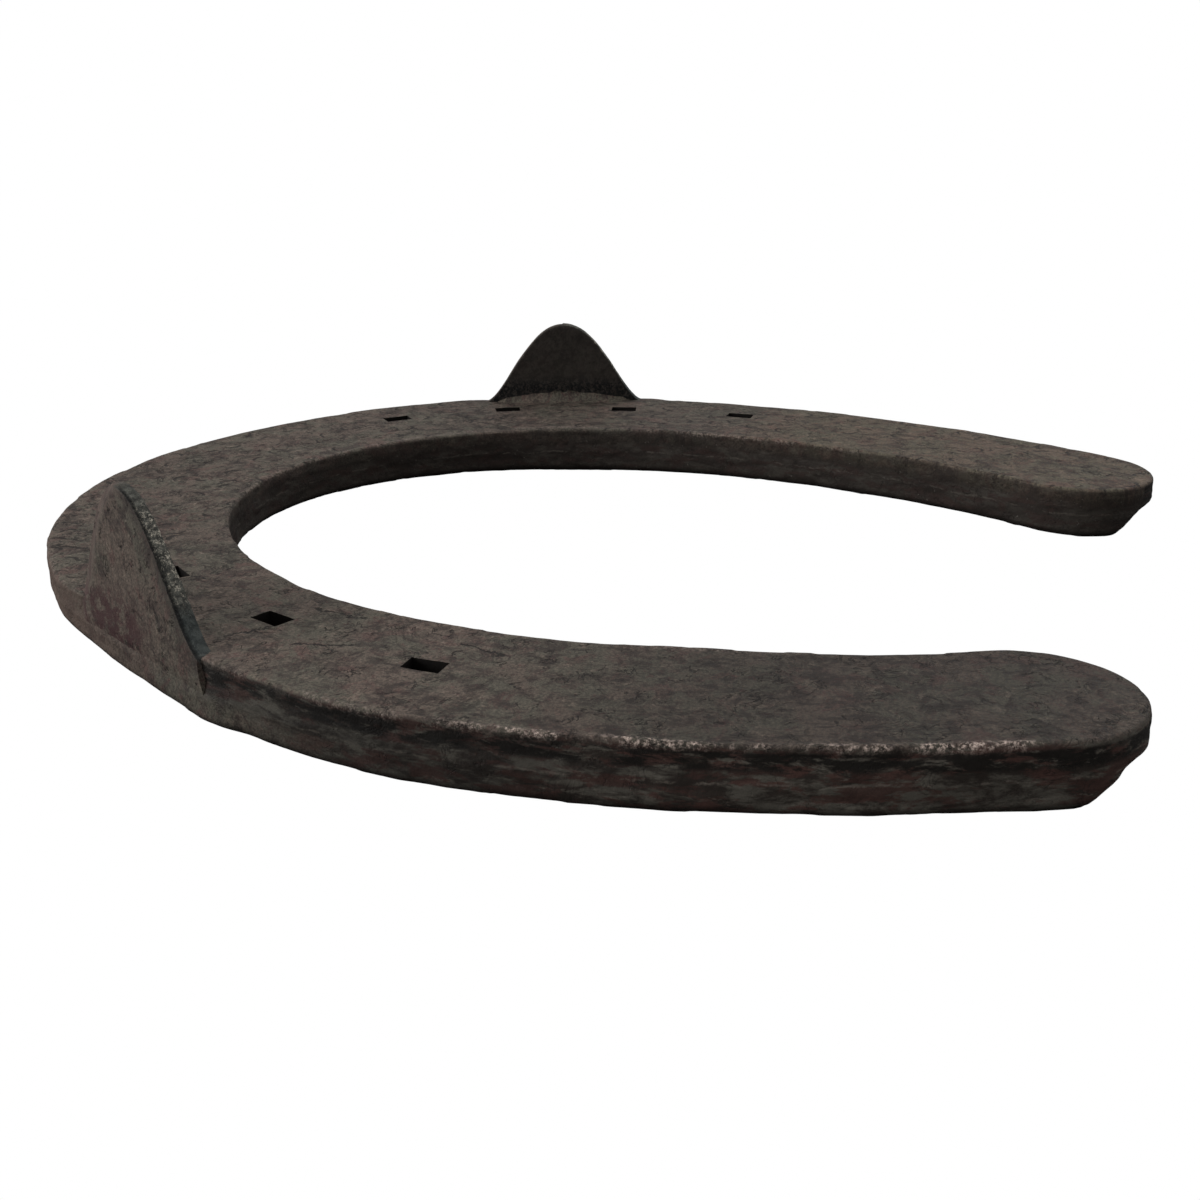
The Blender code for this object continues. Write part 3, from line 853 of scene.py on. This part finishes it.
class Shader:
    """One material, with its fields, its noises and its finish."""

    def __init__(self, name):
        self.material = bpy.data.materials.new(name)
        self.material.use_nodes = True
        self.nodes = self.material.node_tree.nodes
        self.out = self.nodes["Principled BSDF"]
        place = self.nodes.new('ShaderNodeTexCoord').outputs["Object"]
        scaled = add_node('ShaderNodeVectorMath', (place,), operation='SCALE')
        scaled.inputs["Scale"].default_value = 1.0 / MM
        self.place = scaled.outputs[0]

    def fields(self, *names):
        """The numbers that put_field stored, by name."""
        nodes = [self.nodes.new('ShaderNodeAttribute') for name in names]
        for node, name in zip(nodes, names):
            node.attribute_name = name
        return [node.outputs["Fac"] for node in nodes]

    def noise(self, size, detail=4.0, roughness=0.55, place=None, distortion=0.0, seed=0):
        """Noise from 0 to 1 whose features have the given size in millimetres."""
        place = self.place if place is None else place
        if seed:
            shift = (seed * 37.1, seed * 19.3, seed * 53.7)
            place = add_node('ShaderNodeVectorMath', (place, shift), operation='ADD').outputs[0]
        node = add_node('ShaderNodeTexNoise', (place,))
        node.inputs["Scale"].default_value = 1.0 / size
        node.inputs["Detail"].default_value = detail
        node.inputs["Roughness"].default_value = roughness
        node.inputs["Distortion"].default_value = distortion
        return node.outputs["Fac"]

    def layer(self, colour, tone, spread, *noise, where=1.0, **more_noise):
        """Lay a tone over a colour in patches of noise; spread is (low, high, strength)."""
        low, high, strength = spread
        patches = step(self.noise(*noise, **more_noise), low, high, 0.0, strength)
        return mix(product(patches, where), colour, tone)

    def finish(self, colour, roughness, bumps):
        """Join the colour, the roughness and a chain of (height, distance in millimetres) bumps."""
        join(colour, self.out.inputs["Base Color"])
        join(roughness, self.out.inputs["Roughness"])
        join(SHEEN, self.out.inputs["Specular IOR Level"])
        target = self.out.inputs["Normal"]
        for height, distance in reversed(bumps):
            node = self.nodes.new('ShaderNodeBump')
            join(height, node.inputs["Height"])
            join(distance * MM, node.inputs["Distance"])
            join(node.outputs[0], target)
            target = node.inputs["Normal"]
        return self.material


def forge_scale(shader, shade=1.0):
    """The mottled oxide on all the steel: returns its colour and the height of its fine grain."""
    patches = shader.noise(9.0, 7.0, 0.66, distortion=0.5)
    colour = mix(step(patches, 0.42, 0.58), BROWN_SCALE, OLIVE_SCALE)
    colour = shader.layer(colour, RUST_BLOOM, (0.52, 0.62, 0.72), 5.5, 8.0, 0.70, distortion=1.0, seed=7)
    colour = shader.layer(colour, PALE_SCALE, (0.54, 0.68, 0.80), 2.6, 7.0, 0.76, seed=5)
    colour = shader.layer(colour, DARK_STAIN, (0.49, 0.60, 0.82), 2.8, 8.0, 0.76, distortion=0.5, seed=3)
    colour = shader.layer(colour, RUST_SPOT, (0.57, 0.66, 0.62), 1.2, 7.0, 0.72, seed=27)
    grain = shader.noise(0.36, 5.0, 0.75, seed=11)
    level = step(grain, 0.32, 0.68, 0.52 * shade, 1.60 * shade)
    return mix(1.0, colour, level, 'MULTIPLY'), grain


def stamped_arcs(x, y, size, radius, width, share):
    """Sharp crescents, one in some of the cells of a net, each turned its own way."""
    place = vector(x, y)
    cells = add_node('ShaderNodeTexVoronoi', (place,), voronoi_dimensions='2D')
    cells.inputs["Scale"].default_value = 1.0 / size
    away = add_node('ShaderNodeVectorMath', (place, cells.outputs["Position"]), operation='SUBTRACT')
    reach = add_node('ShaderNodeVectorMath', (away.outputs[0],), operation='LENGTH')
    choice, growth, heading = add_node('ShaderNodeSeparateColor', (cells.outputs["Color"],)).outputs
    own_radius = product(step(growth, 0.0, 1.0, 0.6, 1.25), radius)
    ring = maths('ABSOLUTE', maths('SUBTRACT', reach.outputs["Value"], own_radius))
    ring = step(ring, width * 0.4, width, 1.0, 0.0)
    parts = add_node('ShaderNodeSeparateXYZ', (away.outputs[0],))
    turn = maths('ARCTAN2', parts.outputs[1], parts.outputs[0])
    turn = maths('SUBTRACT', turn, product(heading, 2 * math.pi))
    arc = step(maths('COSINE', turn), 0.35, 0.75)
    chosen = step(choice, share, share + 0.02, 1.0, 0.0)
    return product(ring, arc, chosen)


def wrinkles(shader, size, width, low, high, seed=0):
    """Thin dark lines that wander like the contours of a noise, kept only in some patches."""
    contour = shader.noise(size, 4.0, 0.62, distortion=0.8, seed=seed)
    line = maths('ABSOLUTE', maths('SUBTRACT', contour, 0.5))
    line = step(line, 0.0, width, 1.0, 0.0)
    patch = step(shader.noise(size * 1.3, 3.0, 0.6, seed=seed + 5), low, high)
    return product(line, patch)


def single_crack(along, inset, wander, start, end):
    """One crack on the hoof face between two (along, inset) places."""
    length = math.dist(start, end)
    dx, dy = (end[0] - start[0]) / length, (end[1] - start[1]) / length
    x = maths('SUBTRACT', along, start[0])
    y = maths('SUBTRACT', inset, start[1])
    run = maths('ADD', product(x, dx), product(y, dy))
    aside = maths('SUBTRACT', product(y, dx), product(x, dy))
    aside = maths('ABSOLUTE', maths('ADD', aside, wander))
    line = step(aside, CRACK_WIDTH * 0.5, CRACK_WIDTH * 1.6, 1.0, 0.0)
    inside = band(run, (-0.1, 0.3), (length - 0.8, length))
    return product(line, inside)


def hoof_face_scale(shader, along, inset):
    """Oxide with smears along the bar, darker on the left heel, and with painted shade in the middle of the
    right branch around its clip.
    """
    colour, grain = forge_scale(shader)
    place = vector(product(along, 0.40), inset)
    share = highest(step(along, 60.0, 120.0, 0.40, 0.75), step(along, -30.0, -70.0, 0.40, 0.80))
    colour = shader.layer(colour, SMEAR, (0.52, 0.63, 1.0), 1.6, 7.0, 0.74, place, seed=33, where=share)
    # Painted shade: the hoof face darkens in the middle of the right branch, around its clip.
    right_middle = band(along, (-122.0, -96.0), (-62.0, -36.0))
    shade = step(along, 106.0, 144.0, 1.12, 0.62)
    shade = product(shade, step(right_middle, 0.0, 1.0, 1.0, 0.84))
    right_heel = step(along, -96.0, -130.0)
    green = product(shade, step(right_heel, 0.0, 1.0, 1.0, 0.96))
    blue = product(shade, step(right_heel, 0.0, 1.0, 1.0, 0.88))
    return mix(1.0, colour, vector(shade, green, blue), 'MULTIPLY'), grain


def streaked_scale(shader, along, height, side):
    """The walls' scale: streaked along the bar, with black blotches of the steel's own that gather under
    the lip as painted shade, and with the inner walls darkened as painted shade.
    """
    place = vector(product(along, STREAK_STRETCH), height, side)
    streaks = shader.noise(2.2, 7.0, 0.68, place, STREAK_DISTORTION)
    tone = mix(step(streaks, 0.43, 0.57), WALL_DARK, WALL_PALE)
    tone = shader.layer(tone, WALL_RUST, (0.49, 0.57, 0.88), 2.0, 7.0, 0.68, place, STREAK_DISTORTION, 4)
    black = shader.noise(2.0, 7.0, 0.70, place, STREAK_DISTORTION, 8)
    # Painted shade: the black blotches gather thickly under the lip, where its overhang shades the wall.
    under_lip = step(band(height, (4.6, 5.6), (7.0, 7.6)), 0.0, 1.0, 0.34, 0.97)
    tone = mix(product(step(black, 0.42, 0.52), under_lip), tone, WALL_BLOTCH_AND_SHADE)
    tone = shader.layer(tone, WALL_FLAKE, (0.58, 0.70, 0.70), 1.2, 7.0, 0.78, place, seed=14)
    # Painted shade: the inner walls are darkened, as walls turned away from the lamps.
    return mix(product(side, 0.55), tone, INNER_WALL_SHADE)


def flash_line(shader, height):
    """Where one thin, broken flash line shows at mid height."""
    wobble = shader.noise(4.0, 5.0, 0.65, seed=9)
    line_height = maths('ADD', height, product(wobble, 1.6))
    line = band(line_height, (4.35, 4.55), (4.60, 4.80))
    kept = step(shader.noise(2.6, 5.0, 0.7, seed=2), 0.46, 0.58)
    return product(line, kept, 0.6)


def wall_scale(shader, along, height, hoof_face):
    """The darker walls.  The top of the inner wall and the toe-side outer wall take lighter tones of the
    hoof face as painted light, and the foot of each wall is painted shade.
    """
    side, bright = shader.fields("side", "bright")
    tone = streaked_scale(shader, along, height, side)
    tone = mix(flash_line(shader, height), tone, WALL_FLASH)
    right_inner = product(side, step(along, 0.0, -30.0))
    tone = shader.layer(tone, WALL_SPECK, (0.64, 0.70, 0.55), 0.9, 5.0, 0.72, seed=29, where=right_inner)
    # Painted light: the toe-side outer wall takes a lighter, warmer tone, as if lit from the toe side.
    warm = mix(0.55, hoof_face, LIT_TOE_WALL)
    lit_wall_tone = mix(product(bright, step(along, 78.0, 48.0)), hoof_face, warm)
    # Painted light: the top of the inner wall takes the lighter hoof-face tone, as if lit from above.
    upper_inner = product(side, step(height, 4.4, 6.8, 0.0, 0.40))
    tone = mix(highest(product(bright, 0.94), upper_inner), tone, lit_wall_tone)
    # Painted shade: every wall darkens to black over its bottom 1.5 mm, where shade gathers near the floor.
    tone = mix(step(height, 0.1, 1.5, 0.88, 0.0), tone, WALL_BLOTCH_AND_SHADE)
    lighter = step(along, 106.0, 152.0, 0.84, 1.75)
    return mix(1.0, tone, lighter, 'MULTIPLY')


def face_cracks(shader, along, inset, wall):
    """Depth of the cracks, folds and sharp crescents, 0 to 1; the walls carry only faint cracks."""
    wander = maths('SUBTRACT', shader.noise(1.4, 4.0, 0.68, seed=12), 0.5)
    wander = product(wander, 3.0)
    cracks = wrinkles(shader, 3.0, 0.022, 0.50, 0.58)
    for start, end in CRACKS:
        cracks = highest(cracks, single_crack(along, inset, wander, start, end))
    shallow = product(wrinkles(shader, 5.5, 0.045, 0.44, 0.58, 6), 0.45)
    folds = product(wrinkles(shader, 2.4, 0.034, 0.47, 0.57, 35), 0.75)
    at_toe = band(along, (-110.0, -60.0), (56.0, 84.0))
    cracks = highest(cracks, shallow, product(folds, at_toe))
    cracks = product(cracks, rest(product(wall, 0.6)))

    bent = product(wander, 0.5)
    bent_along = maths('ADD', along, bent)
    bent_inset = maths('ADD', inset, bent)
    large = stamped_arcs(bent_along, bent_inset, size=5.0, radius=1.7, width=0.36, share=0.55)
    large = product(large, step(along, 40.0, 62.0, 1.0, 0.25), 0.95)
    small = stamped_arcs(bent_inset, bent_along, size=3.3, radius=1.0, width=0.24, share=0.42)
    small = product(small, step(along, 60.0, 90.0, 1.0, 0.6), 0.7)
    arcs = product(highest(large, small), rest(wall))
    return highest(cracks, arcs)


def rubbed_bright(shader, wear):
    """Where worn edges show bright steel, in clusters of fine specks."""
    clusters = step(shader.noise(7.0, 5.0, 0.65, seed=17), 0.42, 0.56, 0.10, 1.0)
    specks = step(shader.noise(0.55, 6.0, 0.80, seed=15), 0.46, 0.64)
    return maths('MULTIPLY', product(wear, clusters, specks), 1.4, clamp=True)


def bar_material():
    shader = Shader("bar_forge_scale")
    along, inset, height = shader.fields("along", "inset", "height")
    wall, wear, mark = shader.fields("wall", "wear", "mark")
    colour, grain = hoof_face_scale(shader, along, inset)
    colour = mix(wall, colour, wall_scale(shader, along, height, colour))
    cracks = face_cracks(shader, along, inset, wall)
    colour = mix(product(cracks, 0.90), colour, CRACK)
    colour = mix(product(mark, 0.70), colour, HAMMER_MARK)
    colour = mix(rubbed_bright(shader, wear), colour, RUBBED_LIP)
    roughness = step(grain, 0.3, 0.7, 0.56, 0.74)
    depth = maths('SUBTRACT', grain, product(cracks, 1.5))
    coarse = shader.noise(1.6, 4.0, 0.6, seed=21)
    return shader.finish(colour, roughness, [(coarse, 0.16), (depth, 0.12)])


def hole_material():
    """Near-black inside the nail holes, mottled with noise."""
    shader = Shader("hole_near_black")
    hole_mottle = shader.noise(0.8, 4.0, 0.6)
    return shader.finish(mix(hole_mottle, HOLE_BLACK, HOLE_DARK_GREY), 0.85, [(hole_mottle, 0.1)])


def root_crust(shader):
    """The rough crust where a clip meets its weld."""
    return shader.noise(0.7, 6.0, 0.78, distortion=0.4, seed=23)


def clip_face(shader, height, across):
    """A clip's outer face: scratched upright, with a rust patch low on the toe side."""
    flank, shaded = shader.fields("flank", "shaded")
    colour, grain = forge_scale(shader, 1.02)
    scratch_place = vector(product(across, 30.0), product(height, 0.12))
    colour = shader.layer(colour, CLIP_SCRATCH, (0.52, 0.62, 0.42), 1.0, 6.0, 0.70, scratch_place, seed=1)
    rust = step(shader.noise(2.2, 8.0, 0.78, distortion=0.3, seed=13), 0.44, 0.55, 0.0, 0.85)
    low_at_toe = product(band(height, (2.0, 4.5), (8.0, 13.0)), step(across, -0.5, 0.1))
    colour = mix(product(low_at_toe, rust), colour, CLIP_RUST)
    colour = mix(product(flank, 0.45), colour, CLIP_FLANK)
    return mix(product(shaded, 0.60), colour, CLIP_SHADED), grain


def clip_inner_face(shader, colour, inner, root, crust):
    """A clip's inner face: painted shade in mottled dark tones, with a broken black crust at its root."""
    inner_mottle = shader.noise(1.5, 7.0, 0.74, seed=31)
    shaded_inner_tone = mix(step(inner_mottle, 0.40, 0.60), SHADED_INNER_DARK, SHADED_INNER_PALE)
    # Painted shade: the inner face, turned away from the lamps, is darkened.
    colour = mix(product(inner, 0.90), colour, shaded_inner_tone)
    colour = mix(product(root, step(crust, 0.44, 0.52)), colour, CRUST_BLACK)
    return mix(product(root, step(crust, 0.64, 0.70)), colour, CRUST_PALE)


def clip_edge(shader, colour, height, edge):
    """The heel-side edge: a grey burr with bare specks, blue-grey at its foot, with a painted shadow in the
    groove along the face.
    """
    bare, groove = shader.fields("specks", "groove")
    mixed = shader.noise(0.9, 6.0, 0.72, seed=19)
    burr = mix(step(mixed, 0.40, 0.62), BURR_DARK, BURR_PALE)
    foot = mix(step(mixed, 0.42, 0.58), BURR_FOOT_DARK, BURR_FOOT_PALE)
    burr = mix(step(height, 13.5, 11.0), burr, foot)
    colour = mix(edge, colour, burr)
    colour = shader.layer(colour, BARE_SPECK, (0.51, 0.63, 1.0), 0.50, 6.0, 0.82, seed=15, where=bare)
    # Painted shadow: a dark line in the groove where the outer face stands over the edge.
    return mix(product(groove, 0.85), colour, CLIP_GROOVE_SHADE)


def clip_material():
    shader = Shader("clip_forge_scale")
    height, across, inner, edge = shader.fields("height", "across", "inner", "edge")
    colour, grain = clip_face(shader, height, across)
    root = product(step(height, 14.0, 11.0), inner)
    crust = root_crust(shader)
    colour = clip_inner_face(shader, colour, inner, root, crust)
    cracks = product(wrinkles(shader, 3.0, 0.022, 0.54, 0.62), rest(inner))
    colour = mix(product(cracks, 0.80), colour, CRACK)
    colour = clip_edge(shader, colour, height, edge)
    roughness = step(grain, 0.3, 0.7, 0.54, 0.72)
    depth = maths('SUBTRACT', grain, product(cracks, 1.5))
    lumps = product(highest(edge, root), crust)
    coarse = shader.noise(1.3, 4.0, 0.6, seed=21)
    return shader.finish(colour, roughness, [(coarse, 0.12), (depth, 0.10), (lumps, 0.3)])


def weld_material():
    shader = Shader("weld_scale")
    up, = shader.fields("up")
    colour, grain = forge_scale(shader, 0.95)
    crust = root_crust(shader)
    seam = product(step(up, 0.62, 0.90), step(crust, 0.40, 0.50, 0.5, 1.0))
    colour = mix(product(seam, 0.92), colour, WELD_BLACK)
    pale = product(seam, step(crust, 0.63, 0.68))
    colour = mix(pale, colour, WELD_PALE)
    return shader.finish(colour, 0.64, [(grain, 0.10), (product(seam, crust), 0.4)])


# ---- studio

def make_floor():
    """A wide floor, evenly white to the camera, that gives little light back to the steel."""
    bpy.ops.mesh.primitive_plane_add(size=FLOOR_SIZE, location=(0.0, 0.0, FLOOR_Z))
    floor = bpy.context.active_object
    floor.name = "studio_floor"
    shader = Shader("white_floor")
    to_camera = shader.nodes.new('ShaderNodeLightPath').outputs["Is Camera Ray"]
    join(mix(to_camera, FLOOR_BOUNCE, (0.0, 0.0, 0.0)), shader.out.inputs["Base Color"])
    join((1.0, 1.0, 1.0, 1.0), shader.out.inputs["Emission Color"])
    join(to_camera, shader.out.inputs["Emission Strength"])
    join(0.9, shader.out.inputs["Roughness"])
    join(0.0, shader.out.inputs["Specular IOR Level"])
    floor.data.materials.append(shader.material)


def make_light(name, place, size, power):
    """A square light that faces the middle of the shoe."""
    lamp = bpy.data.lights.new(name, 'AREA')
    lamp.energy = power
    lamp.size = size
    light = add_object(name, lamp)
    light.location = place
    light.rotation_euler = (-Vector(place)).to_track_quat('-Z', 'Y').to_euler()


def make_surroundings():
    """White to the camera, and dimmer as light on the steel."""
    world = bpy.data.worlds.new("studio")
    bpy.context.scene.world = world
    world.use_nodes = True
    nodes, links = world.node_tree.nodes, world.node_tree.links
    strength = nodes.new('ShaderNodeMix')
    strength.data_type = 'FLOAT'
    strength.inputs[2].default_value = AMBIENT
    strength.inputs[3].default_value = 1.0
    links.new(nodes.new('ShaderNodeLightPath').outputs["Is Camera Ray"], strength.inputs[0])
    links.new(strength.outputs[0], nodes["Background"].inputs["Strength"])
    nodes["Background"].inputs["Color"].default_value = (1.0, 1.0, 1.0, 1.0)


def make_studio():
    make_floor()
    make_surroundings()
    for light in LIGHTS:
        make_light(*light)
    bpy.context.scene.view_settings.view_transform = 'Standard'


def make_camera():
    camera_data = bpy.data.cameras.new("camera")
    camera_data.lens = CAMERA_LENS
    camera_data.sensor_width = SENSOR_WIDTH
    camera_data.clip_start = 0.01
    camera = add_object("camera", camera_data)
    camera.location = CAMERA_PLACE
    camera.rotation_euler = (QUARTER - CAMERA_DIP, 0.0, CAMERA_HEADING)
    bpy.context.scene.camera = camera


make_bar(bar_material(), hole_material())
clip_steel = clip_material()
weld_steel = weld_material()
for branch in (RIGHT, LEFT):
    make_clip(branch, clip_steel)
    make_weld(branch, weld_steel)
make_studio()
make_camera()
